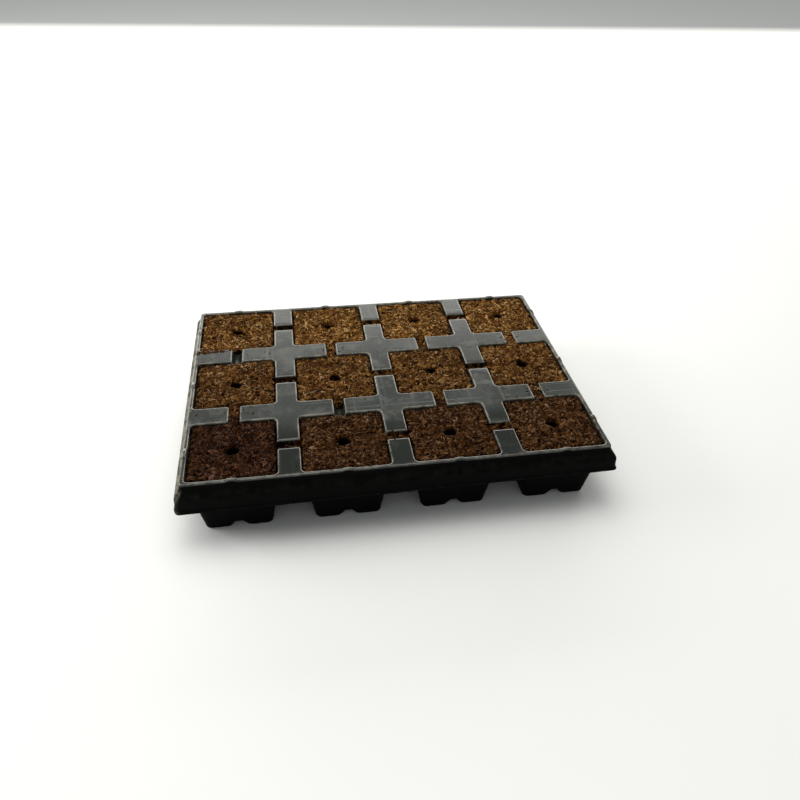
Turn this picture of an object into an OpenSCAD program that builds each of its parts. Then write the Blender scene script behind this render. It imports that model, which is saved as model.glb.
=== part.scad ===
// Plug tray: a formed plastic seedling tray with square tapered cells, each
// holding one pressed fibre plug. Millimetres, +Z up, feet on z = 0, long
// side along X. Columns are numbered from the left, rows a, b, c from the front.

/* [Layout] */

// Spacing of the cells along the long side
pitch_x = 45; // [42:0.5:60]
// Spacing of the cells along the short side
pitch_y = 46.8; // [42:0.1:60]
// Deck surface above the ground, without the humps on the rim
tray_h = 30.5; // [24:0.5:60]
// Thickness of the plastic sheet
sheet = 0.9; // [0.5:0.1:2]

/* [Cells] */

// Opening of a cell at the deck
cell_open = 35.6; // [30:0.1:40]
// Width of a cell's foot at the ground
foot_w = 27.5; // [18:0.5:32]
// Size of the bevel down each upright corner of a cell
corner_cut = 2.2; // [0.5:0.1:4]
// Width of the cross groove under a foot, at the ground
groove_w = 7; // [5:0.1:9]
// Width of the cross groove at its top
groove_top = 1; // [0.6:0.1:5]
// Height of the cross groove under a foot
groove_h = 3.2; // [2:0.1:6]
// Diameter of the drain hole at the middle of a cell floor
drain_d = 6.6; // [3:0.1:6.8]

/* [Channels] */

// Width of the root channels that cross the deck
channel_w = 4.4; // [2:0.1:7]
// Depth of the root channels below the deck
channel_d = 3.8; // [2.5:0.1:7]

/* [Rim and skirt] */

// Width of the deck strip outside the outer cells
rim_w = 1.8; // [1.5:0.1:8]
// Size of the bevel down each outer corner
rim_cut = 1; // [0.5:0.1:4]
// Height of the humps on the rim, one at each end of a line of root channels
hump_h = 0.6; // [0.3:0.1:2]
// Height of the skirt, deck included
skirt_h = 11.2; // [8:0.1:24]
// Depth below the deck at which the skirt's shoulder starts
shoulder_top = 2.4; // [1.5:0.1:6]
// Depth below the deck at which the shoulder ends
shoulder_low = 5.6; // [3:0.1:8]
// How far the shoulder reaches outward
shoulder_w = 2.6; // [0.5:0.1:6]
// Width of the lip along the skirt's lower edge
lip_w = 0.6; // [0.4:0.1:4]

/* [Plugs] */

// Gap between a plug and its cell
plug_gap = 0.3; // [0.2:0.05:1]
// Plug surface below the deck
plug_drop = 1.5; // [0.5:0.1:4]
// Surface of the fibre in the root channels below the deck
bridge_drop = 1.9; // [0.8:0.1:3]
// Diameter of the dibble hole in a plug
dibble_d = 5; // [3:0.1:12]
// Depth of the dibble hole in a plug
dibble_h = 15; // [6:0.5:20]

/* [Node] */

// Which piece to draw

/* [Hidden] */

$fn = 48;
COLS = 4;
ROWS = 3;
SLACK = 1;

span_x = (COLS - 1) * pitch_x + cell_open;
span_y = (ROWS - 1) * pitch_y + cell_open;
deck_x = span_x + 2 * rim_w;
deck_y = span_y + 2 * rim_w;
deck_z = tray_h - sheet;
skirt_z = tray_h - skirt_h;
shoulder_z = tray_h - shoulder_low;
channel_z = tray_h - channel_d;
ridge_side = 1.2 * sheet;
plug_z = tray_h - plug_drop;
bridge_z = tray_h - bridge_drop;
taper = (cell_open / 2 - foot_w / 2 + sheet) / tray_h;

plastic = [0.36, 0.41, 0.41];
dark_plastic = [0.12, 0.14, 0.14];
fibre = [0.42, 0.26, 0.12];

function column_x(col) = (col - (COLS - 1) / 2) * pitch_x;
function row_y(row) = (row - (ROWS - 1) / 2) * pitch_y;

// Half the inside width of a cell at height z, moved outward by grow
function cell_half(z, grow) = foot_w / 2 - sheet + taper * z + grow;

// ---- shapes shared by several pieces ----

// A bar along Y whose half width changes from low to high between z0 and z1
module wedge(low, high, z0, z1, reach) {
    rotate([90, 0, 0])
        linear_extrude(height = 2 * reach, center = true)
            polygon([[-low, z0], [low, z0], [high, z1], [-high, z1]]);
}

// The tapered inside of a cell with bevelled corners, moved outward by grow
module cell_form(z0, z1, grow) {
    low = cell_half(z0, grow);
    high = cell_half(z1, grow);
    cut = corner_cut / sqrt(2);
    intersection() {
        wedge(low, high, z0, z1, cell_open);
        rotate([0, 0, 90])
            wedge(low, high, z0, z1, cell_open);
        rotate([0, 0, 45])
            wedge(low * sqrt(2) - cut, high * sqrt(2) - cut, z0, z1, cell_open);
        rotate([0, 0, -45])
            wedge(low * sqrt(2) - cut, high * sqrt(2) - cut, z0, z1, cell_open);
    }
}

// A bar along Y, with its half width at each height listed from the bottom up
module profile_bar(sides, reach) {
    last = len(sides) - 1;
    mirrored = [for (i = [last : -1 : 0]) [-sides[i][0], sides[i][1]]];
    rotate([90, 0, 0])
        linear_extrude(height = 2 * reach, center = true)
            polygon(concat(sides, mirrored));
}

// The tray's outer form with bevelled corners: [distance outside the deck outline, height] in steps
module tray_form(steps) {
    half_x = deck_x / 2;
    half_y = deck_y / 2;
    diagonal = (half_x + half_y - rim_cut) / sqrt(2);
    intersection() {
        profile_bar([for (s = steps) [half_x + s[0], s[1]]], deck_y);
        rotate([0, 0, 90])
            profile_bar([for (s = steps) [half_y + s[0], s[1]]], deck_x);
        rotate([0, 0, 45])
            profile_bar([for (s = steps) [diagonal + s[0] * sqrt(2), s[1]]], deck_x);
        rotate([0, 0, -45])
            profile_bar([for (s = steps) [diagonal + s[0] * sqrt(2), s[1]]], deck_x);
    }
}

// A round-bottomed bar along X between two distances, cut off level at top_z
module gutter_bar(from, to, grow, top_z) {
    r = channel_w / 2 + grow;
    axis_z = channel_z + channel_w / 2;
    low_z = channel_z - grow - SLACK;
    intersection() {
        union() {
            translate([from, 0, axis_z])
                rotate([0, 90, 0])
                    cylinder(h = to - from, r = r);
            translate([from, -r, axis_z])
                cube([to - from, 2 * r, tray_h]);
        }
        translate([from, -2 * r, low_z])
            cube([to - from, 4 * r, top_z - low_z]);
    }
}

// Every root channel of the tray between its outer cells, moved outward by grow
module channels(grow, top_z) {
    reach_x = column_x(COLS - 1);
    reach_y = row_y(ROWS - 1);
    for (row = [0 : ROWS - 1])
        translate([0, row_y(row), 0])
            gutter_bar(-reach_x, reach_x, grow, top_z);
    for (col = [0 : COLS - 1])
        translate([column_x(col), 0, 0])
            rotate([0, 0, 90])
                gutter_bar(-reach_y, reach_y, grow, top_z);
}

// The inside of every cell in the depth of the deck and its channels
module cell_tops() {
    for (col = [0 : COLS - 1], row = [0 : ROWS - 1])
        translate([column_x(col), row_y(row), 0])
            cell_form(channel_z - 2 * sheet, tray_h + SLACK, 0);
}

// The deck sheet with its channels, before it is divided into regions
module deck() {
    difference() {
        union() {
            tray_form([[0, deck_z], [0, tray_h]]);
            channels(sheet, tray_h);
        }
        channels(0, tray_h + SLACK);
        cell_tops();
    }
}

// ---- tray ----

// A low round hump across the rim at distance half along X, on both sides of the tray
module humps(half) {
    radius = (pow(channel_w / 2, 2) + pow(hump_h, 2)) / (2 * hump_h);
    intersection() {
        translate([-half, 0, tray_h + hump_h - radius])
            rotate([0, 90, 0])
                cylinder(h = 2 * half, r = radius);
        for (side = [0, 180])
            rotate([0, 0, side])
                translate([half - rim_w, -channel_w, deck_z])
                    cube([rim_w, 2 * channel_w, sheet + hump_h + SLACK]);
    }
}

// The deck strip round the outer cells, with a hump in line with every root channel
module rim() {
    color(plastic) {
        difference() {
            tray_form([[0, deck_z], [0, tray_h]]);
            translate([-span_x / 2, -span_y / 2, 0])
                cube([span_x, span_y, 2 * tray_h]);
        }
        for (row = [0 : ROWS - 1])
            translate([0, row_y(row), 0])
                humps(deck_x / 2);
        for (col = [0 : COLS - 1])
            translate([column_x(col), 0, 0])
                rotate([0, 0, 90])
                    humps(deck_y / 2);
    }
}

// The deck strip behind row number row, over the full inside length
module long_web(row) {
    gap = pitch_y - cell_open;
    color(plastic)
        intersection() {
            deck();
            translate([-span_x / 2, row_y(row) + cell_open / 2, 0])
                cube([span_x, gap, 2 * tray_h]);
        }
}

// The short deck strips to the right of column number col
module short_webs(col) {
    gap = pitch_x - cell_open;
    color(plastic)
        intersection() {
            deck();
            for (row = [0 : ROWS - 1])
                translate([column_x(col) + cell_open / 2, row_y(row) - cell_open / 2, 0])
                    cube([gap, cell_open, 2 * tray_h]);
        }
}

// The band under the rim that widens the tray to its skirt
module shoulder() {
    start_z = tray_h - shoulder_top;
    color(dark_plastic)
        difference() {
            tray_form([
                [shoulder_w, shoulder_z],
                [0, start_z],
                [0, deck_z]
            ]);
            tray_form([
                [shoulder_w - sheet, shoulder_z - SLACK],
                [shoulder_w - sheet, shoulder_z],
                [-sheet, start_z],
                [-sheet, deck_z + SLACK]
            ]);
        }
}

// The outer wall below the shoulder, with the lip along its lower edge
module skirt() {
    lip_z = skirt_z + sheet;
    edge = shoulder_w + lip_w;
    color(dark_plastic)
        difference() {
            tray_form([
                [edge, skirt_z],
                [edge, lip_z],
                [shoulder_w, lip_z],
                [shoulder_w, shoulder_z]
            ]);
            tray_form([
                [shoulder_w - sheet, skirt_z - SLACK],
                [shoulder_w - sheet, shoulder_z + SLACK]
            ]);
        }
}

// The groove under a cell floor, moved outward by side and up by rise
module floor_cross(side, rise) {
    low = groove_w / 2 + side;
    high = groove_top / 2 + side;
    for (turn = [0, 90])
        rotate([0, 0, turn]) {
            wedge(low, high, 0, groove_h + rise, foot_w);
            translate([-low, -foot_w, -SLACK])
                cube([2 * low, 2 * foot_w, SLACK]);
        }
}

// One cell: tapered walls, a floor with four feet and a drain hole
module cell(col, row) {
    color(dark_plastic)
        difference() {
            translate([column_x(col), row_y(row), 0])
                difference() {
                    cell_form(0, deck_z, sheet);
                    difference() {
                        cell_form(sheet, deck_z + SLACK, 0);
                        floor_cross(ridge_side, sheet);
                    }
                    floor_cross(0, 0);
                    cylinder(h = tray_h / 2, d = drain_d);
                }
            channels(sheet, tray_h);
        }
}

// ---- plugs ----

// The fibre that reaches from a plug into one root channel
module bridge(reach) {
    gutter_bar(0, reach, -plug_gap, bridge_z);
}

// One pressed plug: tapered block, channel bridges, cross groove, dibble hole
module plug(col, row) {
    half_x = (pitch_x - plug_gap) / 2;
    half_y = (pitch_y - plug_gap) / 2;
    color(fibre)
        translate([column_x(col), row_y(row), 0])
            difference() {
                union() {
                    cell_form(sheet + plug_gap, plug_z, -plug_gap);
                    if (col < COLS - 1)
                        bridge(half_x);
                    if (row < ROWS - 1)
                        rotate([0, 0, 90])
                            bridge(half_y);
                    if (col > 0)
                        rotate([0, 0, 180])
                            bridge(half_x);
                    if (row > 0)
                        rotate([0, 0, 270])
                            bridge(half_y);
                }
                floor_cross(ridge_side + 1.2 * plug_gap, sheet + plug_gap);
                translate([0, 0, plug_z - dibble_h])
                    cylinder(h = dibble_h + SLACK, d = dibble_d);
            }
}

rim();
long_web(0);  // long_web_1
long_web(1);  // long_web_2
short_webs(0);  // short_webs_1
short_webs(1);  // short_webs_2
short_webs(2);  // short_webs_3
shoulder();
skirt();
cell(0, 0);  // cell_a1
cell(1, 0);  // cell_a2
cell(2, 0);  // cell_a3
cell(3, 0);  // cell_a4
cell(0, 1);  // cell_b1
cell(1, 1);  // cell_b2
cell(2, 1);  // cell_b3
cell(3, 1);  // cell_b4
cell(0, 2);  // cell_c1
cell(1, 2);  // cell_c2
cell(2, 2);  // cell_c3
cell(3, 2);  // cell_c4
plug(0, 0);  // plug_a1
plug(1, 0);  // plug_a2
plug(2, 0);  // plug_a3
plug(3, 0);  // plug_a4
plug(0, 1);  // plug_b1
plug(1, 1);  // plug_b2
plug(2, 1);  // plug_b3
plug(3, 1);  // plug_b4
plug(0, 2);  // plug_c1
plug(1, 2);  // plug_c2
plug(2, 2);  // plug_c3
plug(3, 2);  // plug_c4
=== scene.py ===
import math

import bpy
import numpy as np
from mathutils import Matrix, Vector


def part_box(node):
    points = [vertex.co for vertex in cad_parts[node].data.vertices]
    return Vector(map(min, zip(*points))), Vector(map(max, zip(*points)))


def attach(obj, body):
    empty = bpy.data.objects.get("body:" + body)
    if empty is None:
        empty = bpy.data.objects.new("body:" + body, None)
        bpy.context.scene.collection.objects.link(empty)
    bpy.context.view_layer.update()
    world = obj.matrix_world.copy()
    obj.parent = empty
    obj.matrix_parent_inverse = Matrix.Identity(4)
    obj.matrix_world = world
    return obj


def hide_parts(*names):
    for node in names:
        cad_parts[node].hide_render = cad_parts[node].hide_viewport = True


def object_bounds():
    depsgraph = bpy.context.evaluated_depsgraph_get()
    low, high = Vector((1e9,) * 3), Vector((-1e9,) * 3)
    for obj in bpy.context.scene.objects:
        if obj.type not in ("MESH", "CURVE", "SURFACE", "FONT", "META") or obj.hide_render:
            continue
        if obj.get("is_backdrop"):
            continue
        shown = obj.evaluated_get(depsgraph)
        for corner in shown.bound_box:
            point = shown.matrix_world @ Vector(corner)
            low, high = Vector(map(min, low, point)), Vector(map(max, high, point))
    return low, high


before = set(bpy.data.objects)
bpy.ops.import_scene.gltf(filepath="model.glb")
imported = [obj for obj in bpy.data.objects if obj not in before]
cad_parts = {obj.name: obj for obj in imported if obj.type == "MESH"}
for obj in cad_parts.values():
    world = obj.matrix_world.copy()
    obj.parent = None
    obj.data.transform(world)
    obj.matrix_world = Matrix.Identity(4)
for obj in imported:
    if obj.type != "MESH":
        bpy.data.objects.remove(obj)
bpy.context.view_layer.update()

MM = 0.001
ROW_NAMES = "abc"
COLUMNS = 4

# ---------------------------------------------------------------- sizes, mm
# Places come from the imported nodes. The rest repeats the form's own sizes.


def node_box(name):
    low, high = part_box(name)
    return np.array(low) / MM, np.array(high) / MM


CELLS = [(r, c) for r in range(len(ROW_NAMES)) for c in range(COLUMNS)]


def cell_name(row, col):
    return f"{ROW_NAMES[row]}{col + 1}"


CENTRE = {}
for r, c in CELLS:
    low, high = node_box("cell_" + cell_name(r, c))
    CENTRE[r, c] = (low + high)[:2] / 2

PITCH_X = CENTRE[0, 1][0] - CENTRE[0, 0][0]
PITCH_Y = CENTRE[1, 0][1] - CENTRE[0, 0][1]
DECK_Z = node_box("long_web_1")[1][2]
SKIRT_Z = node_box("skirt")[0][2]
PLUG_Z = node_box("plug_b2")[1][2]
PLUG_LOW_Z = node_box("plug_b2")[0][2]
OPEN = node_box("long_web_1")[0][1] - CENTRE[0, 0][1]

PACKED_SHEET = 0.9
SHEET = 0.8  # the visible sheet is a little thinner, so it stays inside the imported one
FOOT = 13.75
TAPER = (OPEN - FOOT + PACKED_SHEET) / DECK_Z
RIM = 1.8
RIM_R = 1.6
HUMP_H = node_box("rim")[1][2] - DECK_Z
INNER_R = 0.8
OUTER_R = 0.7
FLOOR_R = 0.5
CELL_CORNER_R = 2.0
# A root channel's section: distances from its middle line, and its depth there.
CHANNEL_ACROSS = [0, 0.7, 1.3, 1.75, 2.05, 2.25, 2.45, 2.7, 3.0, 3.4]
CHANNEL_DEPTHS = [3.8, 3.68, 3.25, 2.5, 1.6, 0.85, 0.42, 0.17, 0.04, 0.0]
HUMP_HALF = 2.35
GROOVE_H = 3.2
GROOVE_LOW = 3.5
GROOVE_HIGH = 0.5
DRAIN_R = 3.3
DIBBLE_R = 2.5
DIBBLE_H = 15.0
MID_X = (COLUMNS - 1) / 2 * PITCH_X + OPEN + RIM - RIM_R
MID_Y = PITCH_Y + OPEN + RIM - RIM_R


def smooth(t):
    """A soft step from 0 to 1."""
    t = np.clip(t, 0, 1)
    return t * t * (3 - 2 * t)


def cell_half(z):
    """Half the inside width of a cell at a height."""
    return FOOT - PACKED_SHEET + TAPER * z


def channel_depth(u):
    """Depth of a root channel at a distance from its middle line."""
    return np.interp(np.abs(u), CHANNEL_ACROSS, CHANNEL_DEPTHS)


def hump_height(u):
    """Height of a rim hump at a distance from its middle line."""
    return HUMP_H * np.clip(1 - (u / HUMP_HALF) ** 2, 0, 1) ** 0.8


def ridge_height(u):
    """Height of the raised cross on a cell floor at a distance from its middle line."""
    u = np.abs(u)
    low, high = GROOVE_LOW + SHEET, GROOVE_HIGH + SHEET
    t = np.clip((low - u) / (low - high), 0, 1)
    return GROOVE_H * (0.6 * t + 0.4 * smooth(t))


# ---------------------------------------------------------------- mesh help


class Parts:
    """Vertices, faces and named values per vertex, gathered into one mesh."""

    def __init__(self, *values):
        self.co, self.quads, self.tris = [], [], []
        self.values = {v: [] for v in values}
        self.count = 0

    def add(self, co, quads=(), tris=(), **values):
        co = np.asarray(co, float).reshape(-1, 3)
        self.co.append(co)
        if len(quads):
            self.quads.append(np.asarray(quads, int).reshape(-1, 4) + self.count)
        if len(tris):
            self.tris.append(np.asarray(tris, int).reshape(-1, 3) + self.count)
        for name, rows in self.values.items():
            rows.append(np.broadcast_to(values.get(name, 0.0), len(co)).astype(float))
        self.count += len(co)

    def join(self, quads=(), tris=()):
        """Faces between vertices that are already in."""
        if len(quads):
            self.quads.append(quads)
        if len(tris):
            self.tris.append(tris)

    def arrays(self):
        co = np.concatenate(self.co)
        quads = np.concatenate(self.quads) if self.quads else np.zeros((0, 4), int)
        tris = np.concatenate(self.tris) if self.tris else np.zeros((0, 3), int)
        return co, quads, tris, {k: np.concatenate(v) for k, v in self.values.items()}


def merge(co, quads, values, digits=3):
    """Joins vertices that lie on each other."""
    _, first, inverse = np.unique(
        np.round(co, digits), axis=0, return_index=True, return_inverse=True
    )
    inverse = inverse.reshape(-1)
    return co[first], inverse[quads], {k: v[first] for k, v in values.items()}


def boundary_edges(quads):
    """Half edges (a, b) that only one face uses."""
    a = quads.reshape(-1)
    b = np.roll(quads, -1, axis=1).reshape(-1)
    keep = a != b
    a, b = a[keep], b[keep]
    big = int(max(a.max(), b.max())) + 1
    forward, backward = a * big + b, b * big + a
    alone = ~np.isin(forward, backward)
    return np.stack([a[alone], b[alone]], 1)


def vertex_normals(co, quads):
    p = co[quads]
    n = np.cross(p[:, 2] - p[:, 0], p[:, 3] - p[:, 1])
    out = np.zeros_like(co)
    for k in range(4):
        np.add.at(out, quads[:, k], n)
    return out / np.maximum(np.linalg.norm(out, axis=1, keepdims=True), 1e-12)


def closed_quads(quads, n):
    """The quads of a sheet of n vertices, of its copy n further on, and of the walls between."""
    rim = boundary_edges(quads)
    walls = np.stack([rim[:, 1], rim[:, 0], rim[:, 0] + n, rim[:, 1] + n], 1)
    return np.concatenate([quads, quads[:, ::-1] + n, walls])


def thicken(co, quads, values, depth):
    """Turns an open sheet into a closed one of the given depth, to its under side."""
    under = co - vertex_normals(co, quads) * depth
    values = {k: np.concatenate([v, np.zeros(len(co))]) for k, v in values.items()}
    return np.concatenate([co, under]), closed_quads(quads, len(co)), values


def grid_rings(n):
    """Which square ring each point of a (2n+1) square grid lies on, from its middle."""
    k = np.abs(np.arange(-n, n + 1))
    return np.maximum(k[:, None], k[None, :])


def grid_border(n):
    """Rows and columns of a (2n+1) square grid's border, in the order of a ring of 8n points."""
    k = np.arange(2 * n)
    first, last = np.zeros(2 * n, int), np.full(2 * n, 2 * n)
    rows = np.concatenate([last, last - k, first, k])
    columns = np.concatenate([k, last, last - k, first])
    return rows, columns


def grid_quads(number):
    """The quads of a numbered grid."""
    corners = number[:-1, :-1], number[1:, :-1], number[1:, 1:], number[:-1, 1:]
    return np.stack([c.ravel() for c in corners], 1)


def outer_quads(number, first):
    """The quads of a numbered square grid that lie outside its given ring."""
    rings = grid_rings(len(number) // 2).ravel()
    points = grid_quads(np.arange(number.size).reshape(number.shape))
    return grid_quads(number)[rings[points].min(1) >= first]


def make_object(name, co, quads, tris=(), values=None, sharp=None):
    """A smooth shaded object from arrays in millimetres."""
    quads = np.asarray(quads, int).reshape(-1, 4)
    tris = np.asarray(tris, int).reshape(-1, 3)
    mesh = bpy.data.meshes.new(name)
    loops = np.concatenate([quads.reshape(-1), tris.reshape(-1)])
    totals = np.concatenate([np.full(len(quads), 4), np.full(len(tris), 3)])
    starts = np.concatenate([[0], np.cumsum(totals)[:-1]])
    mesh.vertices.add(len(co))
    mesh.vertices.foreach_set("co", (co * MM).astype(np.float32).reshape(-1))
    mesh.loops.add(len(loops))
    mesh.loops.foreach_set("vertex_index", loops.astype(np.int32))
    mesh.polygons.add(len(totals))
    mesh.polygons.foreach_set("loop_start", starts.astype(np.int32))
    mesh.polygons.foreach_set("use_smooth", np.ones(len(totals), bool))
    for key, rows in (values or {}).items():
        mesh.attributes.new(key, "FLOAT", "POINT").data.foreach_set(
            "value", rows.astype(np.float32)
        )
    mesh.update(calc_edges=True)
    mesh.validate()
    if sharp is not None:
        mesh.set_sharp_from_angle(angle=math.radians(sharp))
    obj = bpy.data.objects.new(name, mesh)
    bpy.context.scene.collection.objects.link(obj)
    return obj


# ---------------------------------------------------------------- the ring of points round a cell

# Distances from the middle of a side, close together where a channel's wall is steep.
FLAT = np.array(CHANNEL_ACROSS + [4.3, 5.6, 7.4, 9.4, 11.6, 13.8, OPEN - CELL_CORNER_R])
NFLAT = len(FLAT) - 1
NARC = 4
HALF_N = NFLAT + NARC
SIDE_N = 2 * HALF_N
STRAIGHT = 9  # up to this point a ring's lines run straight out to the deck's tile edge
SIDE_COS = np.array([1, 0, -1, 0])  # sides in order: right, back, left, front
SIDE_SIN = np.array([0, 1, 0, -1])

ring_j = np.tile(np.arange(-HALF_N, HALF_N), 4)
ring_side = np.repeat(np.arange(4), SIDE_N)
ring_abs = np.abs(ring_j)
ring_sign = np.where(ring_j < 0, -1.0, 1.0)


def turn(side, normal, lateral):
    """A side's own coordinates, out and along, to the cell's x and y."""
    c, s = SIDE_COS[side], SIDE_SIN[side]
    return np.stack([normal * c - lateral * s, normal * s + lateral * c], -1)


def ring(half, corner):
    """Points of a rounded square. half may differ from point to point."""
    half = np.broadcast_to(half, len(ring_j)).astype(float)
    flat = FLAT[np.minimum(ring_abs, NFLAT)] * (half - corner) / (OPEN - CELL_CORNER_R)
    angle = np.clip(ring_abs - NFLAT, 0, NARC) / NARC * math.pi / 4
    on_arc = ring_abs > NFLAT
    normal = np.where(on_arc, half - corner + corner * np.cos(angle), half)
    lateral = np.where(on_arc, half - corner + corner * np.sin(angle), flat)
    return turn(ring_side, normal, lateral * ring_sign)


def loops_to_quads(count, size):
    """Quads between successive closed loops, outer loop first, facing up."""
    k = np.arange(size)
    quads = []
    for i in range(count - 1):
        a, b = i * size + k, i * size + (k + 1) % size
        quads.append(np.stack([a, b, b + size, a + size], 1))
    return np.concatenate(quads)


RING_N = len(ring_j)
ring_lateral = FLAT[np.minimum(ring_abs, NFLAT)] + np.maximum(ring_abs - NFLAT, 0) * (
    CELL_CORNER_R / NARC
)
EDGE_STEPS = np.radians([0, 20, 40, 60, 79])


def outer_sides(row, col):
    """Which sides of a cell face the rim: right, back, left, front."""
    return np.array([col == COLUMNS - 1, row == len(ROW_NAMES) - 1, col == 0, row == 0])


def ring_tops(row, col):
    """Deck height round a cell: channels toward neighbours, low humps on the rim."""
    outer = outer_sides(row, col)[ring_side]
    hump, channel = hump_height(ring_lateral), channel_depth(ring_lateral)
    return np.where(outer, DECK_Z + hump, DECK_Z - channel)


def edge_ring(angle, top):
    """One loop of the rounding where the deck turns down into a cell."""
    off = INNER_R * (1 - math.sin(angle))
    xy = ring(cell_half(top) + off, CELL_CORNER_R + off)
    return np.column_stack([xy, top - INNER_R * (1 - math.cos(angle))])


def edge_wear(angle):
    """How much an edge's rounding is lightened, as wear and as painted highlight: most in its
    middle.
    """
    return np.clip(math.sin(2 * angle + 0.25), 0, 1)


def line_wear(row, col):
    """Lightening along the channel edges, as wear and painted highlight, and painted highlight over
    the humps.
    """
    outer = outer_sides(row, col)[ring_side]
    channel = smooth(1 - np.abs(ring_lateral - 2.65) / 0.55)
    return np.where(outer, smooth(1 - ring_lateral / 2.4), channel) * 0.8


# ---------------------------------------------------------------- deck and skirt

OUTLINE_R = RIM_R - OUTER_R
TILE_LOOPS = (1.0, 0.55, 0.18, 0.04)  # from a tile's outer edge in to the opening's
# painted highlight along the rim's flat top
RIM_HIGHLIGHT = 0.45
ROUNDING = np.radians([25, 50, 75, 90])
SHADE_FROM = -PITCH_Y / 2 - 5  # in front of this the deck gets painted shade, and is smoother
SHADE_OVER = 16
SHARP = 48  # degrees: an edge sharper than this isn't shaded smooth


def tile_boundary(row, col):
    """Where one cell's share of the deck ends: half way to its neighbour, or at the rim."""
    outer = outer_sides(row, col)
    edge = OPEN + RIM - OUTER_R
    reach = np.where(outer, edge, np.array([PITCH_X, PITCH_Y, PITCH_X, PITCH_Y]) / 2)
    turned = np.where(ring_sign > 0, (ring_side + 1) % 4, (ring_side + 3) % 4)
    normal, end = reach[ring_side], reach[turned]
    rounded = outer[ring_side] & outer[turned]
    keep = FLAT[STRAIGHT]
    flat = FLAT[np.minimum(ring_abs, NFLAT)]
    to_corner = keep + (flat - keep) / (FLAT[-1] - keep) * (end - OUTLINE_R - keep)
    to_end = keep + (ring_lateral - keep) / (OPEN - keep) * (end - keep)
    lateral = np.where(rounded, to_corner, to_end)
    lateral = np.where(ring_lateral <= keep, ring_lateral, lateral)
    angle = np.clip(ring_abs - NFLAT, 0, NARC) / NARC * math.pi / 4
    on_arc = rounded & (ring_abs >= NFLAT)
    lateral = np.where(on_arc, end - OUTLINE_R + OUTLINE_R * np.sin(angle), lateral)
    normal = np.where(on_arc, normal - OUTLINE_R + OUTLINE_R * np.cos(angle), normal)
    return turn(ring_side, normal, lateral * ring_sign)


def deck_tile(row, col):
    """One cell's share of the deck, with the rounding of its edge, how worn it is and its painted
    highlight.
    """
    outer = tile_boundary(row, col)
    top, worn_and_lit = ring_tops(row, col), line_wear(row, col)
    inner = edge_ring(0.0, top)
    loops, wear = [], []
    on_rim = np.where(outer_sides(row, col)[ring_side], RIM_HIGHLIGHT, 0.0)
    for t in TILE_LOOPS:
        xy = outer * t + inner[:, :2] * (1 - t)
        loops.append(np.column_stack([xy, top]))
        wear.append(np.maximum(worn_and_lit, on_rim))
    for angle in EDGE_STEPS:
        loops.append(edge_ring(angle, top))
        wear.append(np.maximum(edge_wear(angle), worn_and_lit))
    co = np.concatenate(loops)
    co[:, :2] += CENTRE[row, col]
    return co, loops_to_quads(len(loops), RING_N), np.concatenate(wear)


# The shoulder and skirt below the rim's rounding: reach outward, depth below the deck, painted
# highlight.
SKIRT_STEPS = [
    (0.0, OUTER_R, 0.05), (0.05, 1.5, 0.0), (0.12, 2.1, 0.1), (0.3, 2.65, 0.5), (0.75, 3.3, 0.9),
    (1.35, 4.05, 1.0), (1.95, 4.8, 1.0), (2.33, 5.4, 0.75), (2.52, 6.1, 0.3), (2.58, 7.0, 0.08),
    (2.62, 8.6, 0.03), (2.66, 9.9, 0.05), (2.78, 10.3, 0.25), (3.0, 10.5, 0.8), (3.14, 10.7, 1.0),
    (3.2, 10.95, 0.8), (3.2, 11.2, 0.3),
]


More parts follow.
